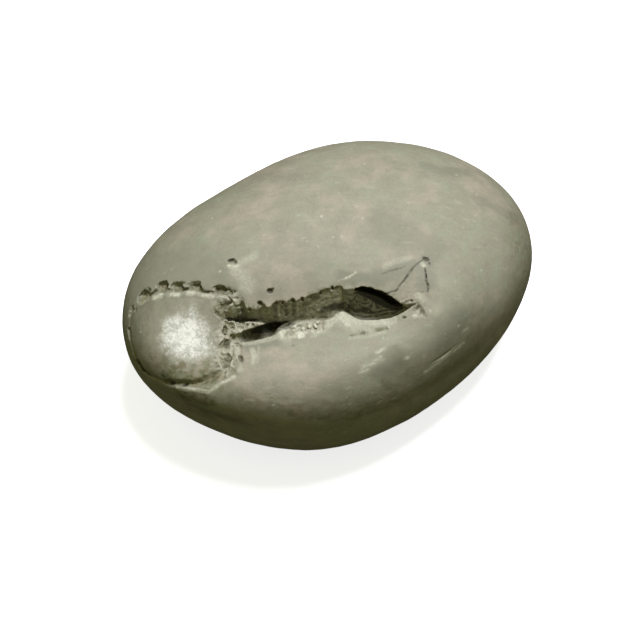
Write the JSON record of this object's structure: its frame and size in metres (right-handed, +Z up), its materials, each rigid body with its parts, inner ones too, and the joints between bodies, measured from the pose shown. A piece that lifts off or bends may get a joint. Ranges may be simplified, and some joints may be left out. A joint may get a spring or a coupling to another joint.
{
  "type": "shaligram stone",
  "caption": "River-worn egg-shaped fossil pebble with a ringed round boss at one end and a ribbed, forked opening across its shoulder that ends in a leaf-shaped cavity.",
  "frame": {"origin": "centre of the bounding box's underside, on the surface the stone rests on", "axes": "+X along the stone's length towards its blunt end, +Y across it away from the opening, +Z up out of the surface it rests on"},
  "size_m": [0.0777, 0.0548, 0.0416],
  "materials": {
    "stone": "satin"
  },
  "bodies": {
    "root": {"shaligram_stone": "stone"}
  },
  "joints": []
}
